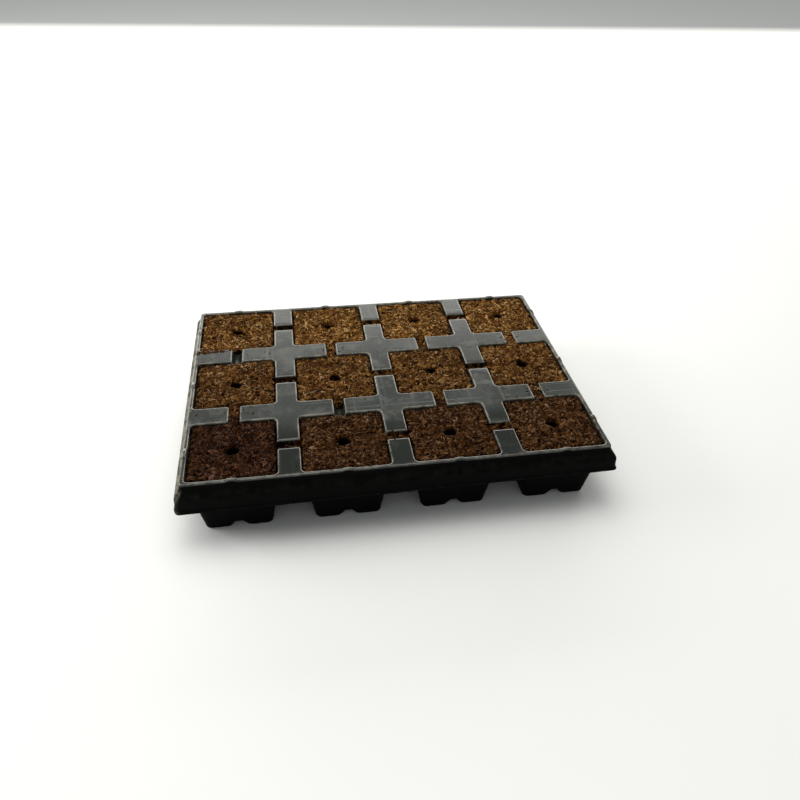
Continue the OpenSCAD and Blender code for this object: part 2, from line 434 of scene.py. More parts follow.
def build_tray_top():
    """The deck with its outer rounding, and the skirt that hangs from it."""
    parts = Parts("wear", "damp")
    for r, c in CELLS:
        co, quads, wear = deck_tile(r, c)
        # painted shade over the front of the deck
        parts.add(co, quads, wear=wear, damp=smooth((SHADE_FROM - co[:, 1]) / SHADE_OVER))
    co, quads, _, values = parts.arrays()
    co, quads, values = merge(co, quads, values)
    middle = np.array([MID_X, MID_Y])
    core = np.clip(co[:, :2], -middle, middle)
    reach = np.linalg.norm(co[:, :2] - core, axis=1)
    rim = boundary_edges(quads)
    rim = rim[(reach[rim] > OUTLINE_R - 0.05).all(1)]
    ids = np.unique(rim)
    number = np.zeros(len(co), int)
    number[ids] = np.arange(len(ids))
    local = number[rim]
    core, top = core[ids], co[ids, 2]
    away = (co[ids, :2] - core) / reach[ids][:, None]

    def strip(loops, wear, first=None):
        """Quads between successive loops over the rim's edges."""
        out = []
        previous = first if first is not None else local
        start = len(co) if first is not None else len(ids)
        for _ in loops:
            now = local + start
            out.append(np.stack([previous[:, 1], previous[:, 0], now[:, 0], now[:, 1]], 1))
            previous = now
            start += len(ids)
        return np.concatenate(out), np.repeat(wear, len(ids))

    rounding = []
    for angle in ROUNDING:
        xy = core + away * (OUTLINE_R + OUTER_R * math.sin(angle))
        rounding.append(np.column_stack([xy, top - OUTER_R * (1 - math.cos(angle))]))
    more, wear = strip(rounding, [edge_wear(a) for a in ROUNDING], ids[local])
    deck = thicken(
        np.concatenate([co, *rounding]),
        np.concatenate([quads, more]),
        {
            "wear": np.concatenate([values["wear"], wear]),
            "damp": np.concatenate([values["damp"], np.tile(values["damp"][ids], len(rounding))]),
        },
        SHEET,
    )

    loops = []
    # the thin front edge isn't quite straight
    front = smooth(-away[:, 1] * 1.2) * (0.035 - 0.065 * core[:, 0] / MID_X)
    for out, depth, _ in SKIRT_STEPS:
        moved = core * (middle + 0.8 * out) / middle + away * (RIM_R + 0.2 * out)
        lift = (top - DECK_Z) * np.clip(1 - (depth - OUTER_R) / 1.4, 0, 1)
        drop = depth / SKIRT_STEPS[-1][1] * (DECK_Z - SKIRT_Z) * (1 + front)
        loops.append(np.column_stack([moved, DECK_Z - drop + lift]))
    loops[0][:, 2] = rounding[-1][:, 2]
    more, wear = strip(loops[1:], [w for _, _, w in SKIRT_STEPS[1:]])
    wear = np.concatenate([np.full(len(ids), SKIRT_STEPS[0][2]), wear])
    # painted highlight on the left side, where the light falls; the others barely
    wear = wear * np.tile(0.02 + 0.98 * smooth(-away[:, 0] * 1.2), len(SKIRT_STEPS))
    skirt = thicken(np.concatenate(loops), more, {"wear": wear}, SHEET)
    return deck, skirt


# ---------------------------------------------------------------- cells


def floor_z(xy):
    """Height of a cell's crossed floor."""
    return SHEET + np.maximum(ridge_height(xy[..., 0]), ridge_height(xy[..., 1]))


DRAIN_RING = 10  # the floor grid's ring that becomes the drain hole's edge
DRAIN_BLEND = 4.0  # rings over which circles turn back into squares
WALL_STEPS = (0.08, 0.2, 0.38, 0.58, 0.78, 0.92, 1.0)


def build_cell(row, col):
    """One cell below the rounding of its edge, round its own middle."""
    loops = [edge_ring(EDGE_STEPS[-1], ring_tops(row, col))]
    start = loops[0][:, 2]
    foot_lateral = ring_lateral * (FOOT - PACKED_SHEET - FLOOR_R) / OPEN
    ground = SHEET + ridge_height(foot_lateral)
    end = ground + FLOOR_R
    for t in WALL_STEPS:
        z = start * (1 - t) + end * t
        loops.append(np.column_stack([ring(cell_half(z), CELL_CORNER_R), z]))
    for angle in np.radians([22, 45, 68, 90]):
        z = ground + FLOOR_R * (1 - math.sin(angle))
        half = cell_half(end) - FLOOR_R * (1 - math.cos(angle))
        corner = CELL_CORNER_R - 0.3 * math.sin(angle)
        loops.append(np.column_stack([ring(half, corner), z]))
    co = np.concatenate(loops)
    quads = loops_to_quads(len(loops), RING_N)
    # the floor is a grid whose border is the last loop
    last = loops[-1]
    half = last[HALF_N, 0]
    line = np.zeros(HALF_N + 1)
    flats = FLAT * (half - CELL_CORNER_R + 0.3) / (OPEN - CELL_CORNER_R)
    line[: NFLAT + 1] = flats
    line[NFLAT:] = np.linspace(flats[-1], half, NARC + 1)
    axis = np.concatenate([-line[:0:-1], line])
    grid = np.stack(np.meshgrid(axis, axis, indexing="ij"), -1)
    rings = grid_rings(HALF_N)
    direction = grid / np.maximum(np.linalg.norm(grid, axis=-1, keepdims=True), 1e-9)
    radius = np.maximum(line[rings], DRAIN_R + (rings - DRAIN_RING) * 0.45)
    weight = np.clip(1 - (rings - DRAIN_RING) / DRAIN_BLEND, 0, 1)[..., None]
    grid = grid * (1 - weight) + direction * radius[..., None] * weight
    number = np.full(rings.shape, -1)
    number[grid_border(HALF_N)] = (len(loops) - 1) * RING_N + np.arange(RING_N)
    inside = (number < 0) & (rings >= DRAIN_RING)
    number[inside] = len(co) + np.arange(inside.sum())
    flat = grid[inside]
    co = np.concatenate([co, np.column_stack([flat, floor_z(flat)])])
    quads = np.concatenate([quads, outer_quads(number, DRAIN_RING)])
    wear = np.zeros(len(co))
    # the top loop is lightened a little: wear and painted highlight
    wear[:RING_N] = 0.3
    return thicken(co, quads, {"wear": wear}, SHEET)


# ---------------------------------------------------------------- fibre surfaces


def crumb_field(rng, width, height, step, count, sizes, peaks, wrap=False):
    """A field of overlapping elongated crumbs: heights, and each crumb's tone, with painted shade
    in the gaps.
    """
    nx, ny = int(round(width / step)) + 1, int(round(height / step)) + 1
    high = np.full((nx, ny), -1.3)
    # where no crumb lies the tone is dark: painted shade in the gaps
    tone = np.full((nx, ny), 0.05)
    cx, cy = rng.uniform(0, width, count), rng.uniform(0, height, count)
    # half the length, half the width and the direction of each crumb
    a = np.clip(rng.lognormal(math.log(sizes[0]), 0.38, count), 0.35, sizes[1])
    b = np.maximum(a * rng.uniform(0.22, 0.5, count), 0.25)
    t = rng.uniform(0, math.pi, count)
    peak = rng.uniform(peaks[0], peaks[1], count)
    base = rng.uniform(-1.0, 0.05, count)
    # each crumb's tone is random, but darker the lower it lies: painted shade
    tint = np.clip(rng.beta(1.6, 2.2, count) + 0.28 * (base + 0.45), 0, 1)
    for i in range(count):
        reach = int(a[i] / step) + 2
        ix = np.arange(int(cx[i] / step) - reach, int(cx[i] / step) + reach + 1)
        iy = np.arange(int(cy[i] / step) - reach, int(cy[i] / step) + reach + 1)
        iy = iy[(iy >= 0) & (iy < ny)]
        if not wrap:
            ix = ix[(ix >= 0) & (ix < nx)]
        if not len(ix) or not len(iy):
            continue
        dx = (ix * step - cx[i])[:, None]
        dy = (iy * step - cy[i])[None, :]
        u = (dx * math.cos(t[i]) + dy * math.sin(t[i])) / a[i]
        v = (-dx * math.sin(t[i]) + dy * math.cos(t[i])) / b[i]
        r2 = u * u + v * v
        value = np.where(r2 < 1, base[i] + peak[i] * np.sqrt(np.clip(1 - r2, 0, 1)), -9)
        spot = np.ix_(ix % nx if wrap else ix, iy)
        old = high[spot]
        higher = value > old
        high[spot] = np.where(higher, value, old)
        tone[spot] = np.where(higher, tint[i], tone[spot])
    return high, tone


def waves(rng, x, y, scale, count=7):
    """A smooth random surface of about unit height from a few sine waves."""
    out = 0
    for _ in range(count):
        angle, phase = rng.uniform(0, 2 * math.pi, 2)
        k = 2 * math.pi / (scale * rng.uniform(0.6, 1.6))
        out = out + np.sin(k * (x * math.cos(angle) + y * math.sin(angle)) + phase)
    return out / math.sqrt(count)


def chip_shape():
    """A small twelve-cornered ball that chips are squashed from."""
    g = (1 + math.sqrt(5)) / 2
    corners = [(-1, g, 0), (1, g, 0), (-1, -g, 0), (1, -g, 0), (0, -1, g), (0, 1, g),
               (0, -1, -g), (0, 1, -g), (g, 0, -1), (g, 0, 1), (-g, 0, -1), (-g, 0, 1)]
    tris = [(0, 11, 5), (0, 5, 1), (0, 1, 7), (0, 7, 10), (0, 10, 11), (1, 5, 9), (5, 11, 4),
            (11, 10, 2), (10, 7, 6), (7, 1, 8), (3, 9, 4), (3, 4, 2), (3, 2, 6), (3, 6, 8),
            (3, 8, 9), (4, 9, 5), (2, 4, 11), (6, 2, 10), (8, 6, 7), (9, 8, 1)]
    return np.array(corners, float) / math.hypot(1, g), np.array(tris)


CHIP, CHIP_TRIS = chip_shape()


def scatter_chips(parts, rng, spots, size, tone_range, stand=0.3):
    """Loose chips lying at the given points, each with its own shape, tilt and tone."""
    for p in spots:
        a = size * rng.lognormal(0, 0.35)
        axes = np.array([a, a * rng.uniform(0.35, 0.7), a * rng.uniform(0.22, 0.45)])
        co = CHIP * axes * (1 + rng.uniform(-0.22, 0.22, (len(CHIP), 1)))
        yaw = rng.uniform(0, 2 * math.pi)
        tilt, roll = rng.normal(0, stand), rng.normal(0, stand)
        turned = Matrix.Rotation(yaw, 3, "Z")
        turned = turned @ Matrix.Rotation(tilt, 3, "Y") @ Matrix.Rotation(roll, 3, "X")
        co = co @ np.array(turned).T + p
        parts.add(co, tris=CHIP_TRIS, tone=rng.uniform(*tone_range), open=1.0)


HAIR_POINTS = 6


def scatter_hairs(parts, rng, spots, length, tone_range, lift=0.5, thick=0.055):
    """Short curved fibres that start at the given points and stay near the surface."""
    s = np.linspace(0, 1, HAIR_POINTS)
    k = np.arange(HAIR_POINTS - 1) * 3
    quads = np.concatenate([
        np.stack([k + a, k + b, k + b + 3, k + a + 3], 1) for a, b in ((0, 1), (1, 2), (2, 0))
    ])
    end = (HAIR_POINTS - 1) * 3
    caps = [(2, 1, 0), (end, end + 1, end + 2)]
    for p in spots:
        step = length * rng.lognormal(0, 0.35) / (HAIR_POINTS - 1)
        angle = rng.uniform(0, 2 * math.pi)
        bend = rng.normal(0, 0.9)
        heading = angle + bend * s
        x = np.concatenate([[0], np.cumsum(np.cos(heading[:-1]) * step)])
        y = np.concatenate([[0], np.cumsum(np.sin(heading[:-1]) * step)])
        z = lift * rng.uniform(0.2, 1.0) * np.sin(math.pi * s * rng.uniform(0.6, 1.0)) + 0.05
        line = np.stack([x, y, z], 1) + p
        side = np.stack([-np.sin(heading), np.cos(heading), 0 * s], 1)
        up = np.array([0, 0, 1.0])
        r = thick * rng.uniform(0.7, 1.5) * (1 - 0.6 * s[:, None] ** 3)
        # each point of the line becomes a triangle
        upper = line - side * r * 0.5 + up * r * 0.87
        lower = line - side * r * 0.5 - up * r * 0.87
        loops = np.stack([line + side * r, upper, lower], 1)
        tone = rng.uniform(*tone_range)
        parts.add(loops.reshape(-1, 3), quads=quads, tris=caps, tone=tone, open=1.0)


# ---------------------------------------------------------------- plugs

ROW_SHADE = (0.84, 0.38, 0.0)  # painted shade on the plugs: front, middle and back row
SHADE_STEP = (0.16, 0.0, 0.0, -0.03)  # painted shade added from the left column to the right one
GAP = 0.35  # between a plug's side and its cell
PLUG_CORNER_R = 1.9
TOP_N = 62  # steps from the middle of the top to its side
TOP_CRUMBS = 2700
DIBBLE_RING = 8  # the top grid's ring that becomes the dibble hole's rim
DIBBLE_BLEND = 7.0  # rings over which circles turn back into squares
DIBBLE_LEVELS = 12
TOP_CHIPS = 420
TOP_HAIRS = 430
TOP_MARGIN = 1.2  # chips and hairs keep this far from the top's sides
WALL_LOOPS = 26
WALL_CRUMBS = 2600
WALL_STEP = 0.6


def square_ring(half, corner, n):
    """8n points round a rounded square, evenly spaced along each side's half."""
    j = np.tile(np.arange(-n, n), 4)
    side = np.repeat(np.arange(4), 2 * n)
    s = np.abs(j) / n * (half - corner + corner * math.pi / 4)
    on_arc = s > half - corner
    angle = np.where(on_arc, (s - (half - corner)) / max(corner, 1e-6), 0)
    normal = np.where(on_arc, half - corner + corner * np.cos(angle), half)
    lateral = np.where(on_arc, half - corner + corner * np.sin(angle), s)
    return turn(side, normal, lateral * np.sign(j))


def under_cross(x, y):
    """How far the plug's under side is raised over the cross on the cell floor."""
    low, high = GROOVE_LOW + SHEET + 0.5, GROOVE_HIGH + SHEET + 0.5
    up = [smooth((low - np.abs(v)) / (low - high)) for v in (x, y)]
    return (GROOVE_H + 0.2) * np.maximum(*up)


def plug_half(z):
    """Half the width of a plug at a height."""
    return cell_half(z) - GAP


PLUG_HALF = plug_half(PLUG_Z)
TOP_STEP = PLUG_HALF / TOP_N


def add_plug_top(parts, rng):
    """A plug's crumbly top, on a square grid that is round at the dibble hole.

    Gives the grid's vertices, their numbers and the height at every grid point."""
    n, half, step = TOP_N, PLUG_HALF, TOP_STEP
    high, tone = crumb_field(
        rng, 2 * half, 2 * half, step, TOP_CRUMBS, (0.92, 2.6), (0.3, 1.0)
    )
    line = np.linspace(-half, half, 2 * n + 1)
    gx, gy = np.meshgrid(line, line, indexing="ij")
    rings = grid_rings(n)
    # the outer rings of the grid follow the rounded outline
    for depth in range(5):
        corner = max(PLUG_CORNER_R - depth * step * 0.9, 0.2)
        outline = square_ring(half - depth * step, corner, n - depth)
        rows, columns = grid_border(n - depth)
        gx[rows + depth, columns + depth] = outline[:, 0]
        gy[rows + depth, columns + depth] = outline[:, 1]
    # the middle rings become circles round the dibble hole
    length = np.maximum(np.hypot(gx, gy), 1e-9)
    circle = np.maximum(DIBBLE_R + 0.15 + (rings - DIBBLE_RING) * step, 0)
    weight = np.clip(1 - (rings - DIBBLE_RING) / DIBBLE_BLEND, 0, 1)
    angle = np.arctan2(gy, gx)
    ragged = 0.36 * waves(rng, 3 * np.cos(angle), 3 * np.sin(angle), 3.0)
    circle = circle + ragged * weight
    gx = gx * (1 - weight) + gx / length * circle * weight
    gy = gy * (1 - weight) + gy / length * circle * weight
    dome = 0.28 * waves(rng, gx, gy, 17) + 0.16 * waves(rng, gx, gy, 7)
    from_side = half - np.maximum(np.abs(gx), np.abs(gy))
    from_hole = np.hypot(gx, gy) - DIBBLE_R
    fall = 0.45 * (1 - smooth(from_side / 1.3)) + 1.1 * (1 - smooth(from_hole / 1.3))
    z = np.minimum(PLUG_Z + 0.62 + high * 0.8 + dome - fall, DECK_Z - 0.15)
    kept = rings >= DIBBLE_RING
    number = np.full(rings.shape, -1)
    number[kept] = np.arange(kept.sum())
    co = np.stack([gx[kept], gy[kept], z[kept]], 1)
    # painted shade: low spots between crumbs and the hole's rim are darker
    unshaded_amount = smooth((high[kept] + 0.75) / 0.9)
    unshaded_amount = unshaded_amount * smooth((np.hypot(co[:, 0], co[:, 1]) - DIBBLE_R + 0.5) / 1.3)
    parts.add(co, outer_quads(number, DIBBLE_RING), tone=tone[kept], open=unshaded_amount)
    return co, number, z


def add_dibble_hole(parts, rng, rim, rim_ids):
    """The rough closed hole that goes down from its rim in a plug's top."""
    size = len(rim)
    around = np.arctan2(rim[:, 1], rim[:, 0])
    levels = np.linspace(0, 1, DIBBLE_LEVELS + 1)[1:]
    loops = []
    for t in levels:
        rough = waves(rng, 3 * np.cos(around), 3 * np.sin(around) + 40 * t, 2.2)
        r = DIBBLE_R - 0.1 - 0.5 * t + 0.16 * rough
        z = rim[:, 2] * (1 - t) + (PLUG_Z - DIBBLE_H) * t
        loops.append(np.stack([r * np.cos(around), r * np.sin(around), z], 1))
    co = np.concatenate([*loops, [[0, 0, PLUG_Z - DIBBLE_H - 0.3]]])
    first = parts.count + np.arange(size)
    rows = [rim_ids] + [first + i * size for i in range(DIBBLE_LEVELS)]
    tip = np.full(size, parts.count + DIBBLE_LEVELS * size)
    # painted shade down the hole: dark tones on its sides, darker with depth
    light = np.concatenate([np.repeat(0.25 * (1 - levels), size), [0]]) * 0.4
    parts.add(co, tone=rng.uniform(0, 0.35, len(co)), open=light)
    quads = [
        np.stack([up, np.roll(up, -1), np.roll(low, -1), low], 1)
        for up, low in zip(rows, rows[1:])
    ]
    parts.join(np.concatenate(quads), np.stack([rows[-1], np.roll(rows[-1], -1), tip], 1))


def add_plug_wall(parts, rng, border):
    """A plug's sides, with half as many points round as its top's border. Gives the lowest loop."""
    size = len(border) // 2
    around = 8 * PLUG_HALF
    high, tone = crumb_field(
        rng, around, PLUG_Z - PLUG_LOW_Z, WALL_STEP, WALL_CRUMBS, (1.0, 2.6), (0.2, 0.6), wrap=True
    )
    field_x = (np.arange(size) * around / size / WALL_STEP).astype(int) % high.shape[0]
    highest, lowest = PLUG_Z - 0.7, PLUG_LOW_Z + 0.9
    loops, tones, unshaded_rows = [], [], []
    for i in range(WALL_LOOPS):
        t = i / (WALL_LOOPS - 1)
        z = highest * (1 - t) + lowest * t
        half = plug_half(z)
        xy = square_ring(half, PLUG_CORNER_R, TOP_N // 2)
        field_y = min(int((z - PLUG_LOW_Z) / WALL_STEP), high.shape[1] - 1)
        bump = high[field_x, field_y]
        inward = 0.12 - 0.22 * np.clip(bump, -1.2, 0.3)
        normal = xy - np.clip(xy, -half + PLUG_CORNER_R, half - PLUG_CORNER_R)
        normal = normal / np.maximum(np.linalg.norm(normal, axis=1, keepdims=True), 1e-9)
        xy = xy - normal * inward[:, None]
        # the lowest loops stay above the cell's crossed floor, each a little over the next
        above = 0.1 * (WALL_LOOPS - 1 - i) / WALL_LOOPS
        clear = PLUG_LOW_Z + under_cross(xy[:, 0], xy[:, 1]) + above
        loops.append(np.column_stack([xy, np.maximum(z, clear)]))
        tones.append(tone[field_x, field_y])
        # painted shade in the wall's hollows
        unshaded_rows.append(smooth(bump + 0.85))
    first = parts.count + np.arange(size)
    rows = [first + i * size for i in range(WALL_LOOPS)]
    parts.add(np.concatenate(loops), tone=np.concatenate(tones), open=np.concatenate(unshaded_rows))
    parts.join(np.concatenate([
        np.stack([np.roll(low, -1), low, up, np.roll(up, -1)], 1)
        for up, low in zip(rows, rows[1:])
    ]))
    # the join between the fine border and the coarser wall
    even, odd = border[::2], border[1::2]
    even_next, below, below_next = np.roll(even, -1), rows[0], np.roll(rows[0], -1)
    parts.join(tris=np.concatenate([
        np.stack([below, odd, even], 1),
        np.stack([below, below_next, odd], 1),
        np.stack([below_next, even_next, odd], 1),
    ]))
    return rows[-1]


def add_under_side(parts, rng, wall_end):
    """A plug's rough under side, raised over the crossed floor and joined to its wall."""
    n = TOP_N // 2
    half = plug_half(PLUG_LOW_Z) - 0.5
    line = np.linspace(-half, half, 2 * n + 1)
    gx, gy = np.meshgrid(line, line, indexing="ij")
    border = grid_border(n)
    outline = square_ring(half, PLUG_CORNER_R * 0.8, n)
    gx[border], gy[border] = outline[:, 0], outline[:, 1]
    rough = 0.1 * waves(rng, gx, gy, 2.6)
    z = PLUG_LOW_Z + 0.1 + under_cross(gx, gy) + np.abs(rough)
    number = parts.count + np.arange(gx.size).reshape(gx.shape)
    co = np.stack([gx.ravel(), gy.ravel(), z.ravel()], 1)
    # painted shade on the under side, through its lower unshaded value
    parts.add(co, tone=rng.uniform(0.1, 0.6, gx.size), open=0.6)
    parts.join(grid_quads(number)[:, ::-1])
    edge = number[border]
    parts.join(np.stack([edge, np.roll(edge, -1), np.roll(wall_end, -1), wall_end], 1))


def top_points(rng, surface, count, clear):
    """Random points on a plug's top, away from its sides and its hole."""
    points = []
    while len(points) < count:
        x, y = rng.uniform(-PLUG_HALF + TOP_MARGIN, PLUG_HALF - TOP_MARGIN, 2)
        if math.hypot(x, y) > DIBBLE_R + clear:
            i, j = int((x + PLUG_HALF) / TOP_STEP), int((y + PLUG_HALF) / TOP_STEP)
            points.append(np.array([x, y, surface[i, j]]))
    return points


def build_plug(row, col, fills):
    """One fibre plug round its own middle. fills says how full each of its channel ends is."""
    rng = np.random.default_rng(4100 + 17 * (row * COLUMNS + col))
    parts = Parts("tone", "open")
    top, number, surface = add_plug_top(parts, rng)
    rows, columns = grid_border(DIBBLE_RING)
    hole_ids = number[rows + TOP_N - DIBBLE_RING, columns + TOP_N - DIBBLE_RING]
    add_dibble_hole(parts, rng, top[hole_ids], hole_ids)
    wall_end = add_plug_wall(parts, rng, number[grid_border(TOP_N)])
    add_under_side(parts, rng, wall_end)
    for side, fill in enumerate(fills):
        if fill:
            channel_fill(parts, rng, side, *fill)
    chips = [p + (0, 0, 0.02) for p in top_points(rng, surface, TOP_CHIPS, 0.6)]
    scatter_chips(parts, rng, chips, 0.5, (0.1, 1.0), 0.45)
    hairs = top_points(rng, surface, TOP_HAIRS, 2.2)
    scatter_hairs(parts, rng, hairs, 2.6, (0.3, 1.0), 0.4, 0.12)
    return parts.arrays()


FILL_STEP = 0.33
FILL_HALF = 2.35  # how far the fibre reaches from the channel's middle line


def channel_fill(parts, rng, side, reach, level, tone_shift):
    """A lump of fibre lying in one root channel, from the plug out to reach."""
    start = PLUG_HALF - 1.2
    length = reach - start
    nx, ny = int(length / FILL_STEP) + 1, 2 * int(FILL_HALF / FILL_STEP) + 1
    along = np.linspace(0, length, nx)
    across = np.linspace(-FILL_HALF, FILL_HALF, ny)
    gs, gu = np.meshgrid(along, across, indexing="ij")
    crumbs = int(length * FILL_HALF * 5)
    high, tone = crumb_field(
        rng, length, 2 * FILL_HALF, FILL_STEP, crumbs, (0.62, 1.5), (0.3, 0.8)
    )
    high, tone = high[:nx, :ny], tone[:nx, :ny]
    floor = DECK_Z - channel_depth(gu) + 0.12
    top = level + high * 0.6 + 0.25 * waves(rng, gs + start, gu, 5)
    end_fall = smooth(length - gs)
    top = floor + (np.maximum(top, floor + 0.05) - floor) * np.clip(end_fall + 0.15, 0, 1)
    side_fall = smooth((FILL_HALF - np.abs(gu)) / 0.5)
    top = floor + (top - floor) * side_fall + 0.02
    xy = turn(side, gs + start, gu)
    upper = np.concatenate([xy, top[..., None]], -1)
    lower = np.concatenate([xy, floor[..., None] - 0.02], -1)
    quads = closed_quads(grid_quads(np.arange(gs.size).reshape(gs.shape)), gs.size)
    # painted shade in the lump's low spots, and more on its under side
    unshaded_amount = np.concatenate([smooth((high.ravel() + 0.75) / 0.9), np.full(gs.size, 0.3)])
    tones = np.clip(np.tile(tone.ravel(), 2) + tone_shift, 0, 1)
    co = np.concatenate([upper.reshape(-1, 3), lower.reshape(-1, 3)])
    parts.add(co, quads, tone=tones, open=unshaded_amount)
    spots = []
    for _ in range(int(length * 5)):
        i, j = rng.integers(1, nx - 1), rng.integers(2, ny - 2)
        spots.append(upper[i, j])
    scatter_chips(parts, rng, spots, 0.55, (0.2, 0.95), 0.5)
    scatter_hairs(parts, rng, spots[::3], 1.7, (0.4, 1.0), 0.3, 0.1)


# How full the channel ends of each plug are, toward right, back, left and front.
# A fill is (reach from the cell's middle, height of its surface, tone shift).
HALF_X, HALF_Y = PITCH_X / 2 - 0.1, PITCH_Y / 2 - 0.1
FULL, MOST, LOW = DECK_Z - 0.6, DECK_Z - 1.2, DECK_Z - 2.7
DARK = (HALF_X, LOW - 0.2, -0.45)


def plug_fills(row, col):
    """The fills of one plug's four channel ends, or None where there is no fibre."""
    outer = outer_sides(row, col)
    fills = [(HALF_X, LOW, -0.2), (HALF_Y, MOST, 0.0), (HALF_X, LOW, -0.2), (HALF_Y, MOST, 0.0)]
    special = {
        (2, 0): {0: DARK, 3: None},
        (2, 1): {2: DARK},
        (2, 2): {3: (HALF_Y, LOW + 0.4, -0.1)},
        (2, 3): {3: (HALF_Y, FULL, 0.05)},
        (1, 0): {0: DARK, 1: None},
        (1, 1): {2: DARK, 3: (OPEN + 3.4, MOST, -0.1), 0: (HALF_X, LOW + 0.6, 0.0)},
        (1, 2): {1: (HALF_Y, LOW + 0.4, -0.1)},
        (1, 3): {1: (HALF_Y, FULL, 0.1), 3: (HALF_Y, FULL + 0.1, 0.0)},
        (0, 0): {0: DARK, 1: (HALF_Y, FULL, 0.0)},
        (0, 1): {1: None, 2: DARK, 0: (HALF_X, LOW + 0.6, 0.1)},
        (0, 2): {2: (HALF_X, LOW + 0.6, 0.1), 0: (HALF_X, MOST - 0.4, 0.05)},
        (0, 3): {2: (HALF_X, MOST - 0.4, 0.05), 1: (HALF_Y, FULL, 0.0)},
    }
    for side, fill in special.get((row, col), {}).items():
        fills[side] = fill
    return [None if outer[side] else fill for side, fill in enumerate(fills)]


STRAY_CRUMBS = 55
HUMP_CRUMBS = 14


def build_spill():
    """Loose crumbs that lie on the deck, mostly near the fuller channels."""
    rng = np.random.default_rng(977)
    parts = Parts("tone", "open")
    # a heap is its middle, its spread in x and y, and its number of crumbs
    heaps = [
        (CENTRE[2, 0] + (-OPEN + 3, -OPEN - 0.9), 3.4, 1.0, 170),
        (CENTRE[2, 0] + (-OPEN + 9, -OPEN - 0.4), 3.4, 0.8, 70),
        (CENTRE[1, 0] + (0, -PITCH_Y / 2), 3.0, 2.6, 36),
        (CENTRE[1, 3] + (0, -PITCH_Y / 2), 3.2, 2.6, 40),
        (CENTRE[2, 3] + (0, -PITCH_Y / 2), 2.6, 2.2, 22),
        (CENTRE[2, 1] + (0, -PITCH_Y / 2), 2.6, 2.2, 16),
        (CENTRE[0, 2] + (PITCH_X / 2, 0), 2.4, 2.4, 24),
        (CENTRE[0, 1] + (PITCH_X / 2, 0), 2.4, 2.2, 14),
        (CENTRE[2, 0] + (PITCH_X / 2, 0), 2.4, 1.6, 8),
    ]
    spots = []
    for (x, y), wide, deep, count in heaps:
        for px, py in zip(rng.normal(x, wide, count), rng.normal(y, deep, count)):
            spots.append((px, py))
    for _ in range(STRAY_CRUMBS):
        spots.append((rng.uniform(-MID_X, MID_X), rng.uniform(-MID_Y, MID_Y)))
    lying = []
    for px, py in spots:
        dx = min(abs(px - CENTRE[0, c][0]) for c in range(COLUMNS))
        dy = min(abs(py - CENTRE[r, 0][1]) for r in range(len(ROW_NAMES)))
        out = max(dx, dy) - OPEN
        if out > 0.1 and min(dx, dy) > 2.9 and abs(px) < MID_X + 1 and abs(py) < MID_Y + 1:
            lying.append(np.array([px, py, DECK_Z + 0.08 - 0.5 * (1 - smooth(out / 0.8))]))
    # a few crumbs caught on the humps of the right side
    for r in range(len(ROW_NAMES)):
        for u in rng.normal(0, 1.5, HUMP_CRUMBS):
            x, y = MID_X + rng.uniform(-0.5, 1.1), CENTRE[r, 0][1] + u
            lying.append(np.array([x, y, DECK_Z + hump_height(u) + 0.05]))
    scatter_chips(parts, rng, lying, 0.42, (0.05, 0.6), 0.2)
    return parts.arrays()


# ---------------------------------------------------------------- materials


def as_colour(value):
    if isinstance(value, (int, float)):
        value = (value, value, value)
    return (*value, 1.0)


class Material:
    """A material, with short ways to add nodes to it."""

    def __init__(self, name):
        self.data = bpy.data.materials.new(name)
        self.data.use_nodes = True
        self.nodes = self.data.node_tree.nodes
        self.link = self.data.node_tree.links.new
        self.shader = self.nodes["Principled BSDF"]

    def node(self, kind, **settings):
        made = self.nodes.new(kind)
        for key, value in settings.items():
            if key in made.inputs:
                made.inputs[key].default_value = value
            else:
                setattr(made, key, value)
        return made

    def coords(self):
        return self.node("ShaderNodeTexCoord").outputs["Object"]

    def attribute(self, name):
        return self.node("ShaderNodeAttribute", attribute_name=name).outputs["Fac"]

    def noise(self, coords, scale, detail=4.0, rough=0.55, stretch=None):
        """Noise. stretch is an optional scale and rotation of its coordinates."""
        if stretch:
            mapping = self.node("ShaderNodeMapping", Scale=stretch[0], Rotation=stretch[1])
            self.link(coords, mapping.inputs["Vector"])
            coords = mapping.outputs["Vector"]
        made = self.node("ShaderNodeTexNoise", Scale=scale, Detail=detail, Roughness=rough)
        self.link(coords, made.inputs["Vector"])
        return made.outputs["Fac"]

    def ramp(self, value, *stops):
        made = self.node("ShaderNodeValToRGB")
        elements = made.color_ramp.elements
        for element, (position, colour) in zip(elements, (stops[0], stops[-1])):
            element.position, element.color = position, as_colour(colour)
        for position, colour in stops[1:-1]:
            elements.new(position).color = as_colour(colour)
        self.link(value, made.inputs["Fac"])
        return made.outputs["Color"]

    def feed(self, socket, value):
        """Links a socket to another one, or sets its constant."""
        if isinstance(value, bpy.types.NodeSocket):
            self.link(value, socket)
        else:
            socket.default_value = value if socket.type == "VALUE" else as_colour(value)

    def mix(self, kind, factor, a, b):
        made = self.node("ShaderNodeMix", data_type="RGBA", blend_type=kind)
        for socket, value in ((0, factor), (6, a), (7, b)):
            self.feed(made.inputs[socket], value)
        return made.outputs[2]

    def maths(self, operation, a, b, clamp=False):
        made = self.node("ShaderNodeMath", operation=operation, use_clamp=clamp)
        self.feed(made.inputs[0], a)
        self.feed(made.inputs[1], b)
        return made.outputs[0]

    def bump(self, height, strength, distance):
        made = self.node("ShaderNodeBump", Strength=strength, Distance=distance)
        self.link(height, made.inputs["Height"])
        self.link(made.outputs["Normal"], self.shader.inputs["Normal"])


